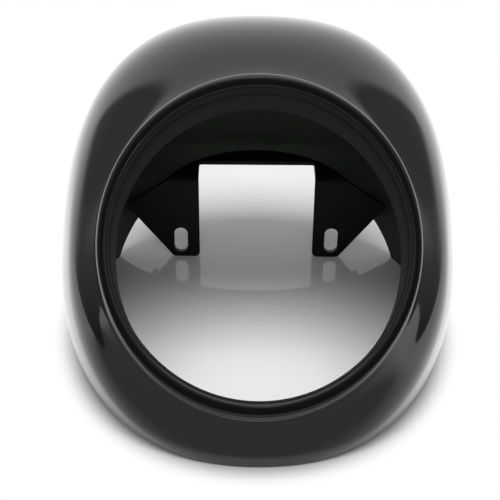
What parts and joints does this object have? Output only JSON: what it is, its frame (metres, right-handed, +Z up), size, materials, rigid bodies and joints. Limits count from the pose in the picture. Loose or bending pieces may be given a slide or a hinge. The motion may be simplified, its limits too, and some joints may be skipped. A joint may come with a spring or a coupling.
{
  "type": "motorcycle headlight fairing",
  "caption": "Gloss black moulded headlight shell with a raised ring round a large oval opening, open at the back, and a bent steel bracket with slotted legs inside.",
  "frame": {"origin": "on the floor under the middle of the part, which lies on its rear rim with the headlight opening facing forward and up", "axes": "+X to the right as seen from in front of the headlight opening, +Y from the opening to the rear, +Z up from the rim"},
  "size_m": [0.2194, 0.2362, 0.1655],
  "materials": {
    "shell": "gloss black, smooth",
    "bracket": "satin black powder coat",
    "screws": "zinc plated",
    "washers": "zinc plated",
    "inserts": "turned"
  },
  "bodies": {
    "root": {"fairing_shell": "shell", "mounting_bracket": "bracket", "bracket_screws": "screws", "screw_washers": "washers", "threaded_inserts": "inserts"}
  },
  "joints": []
}
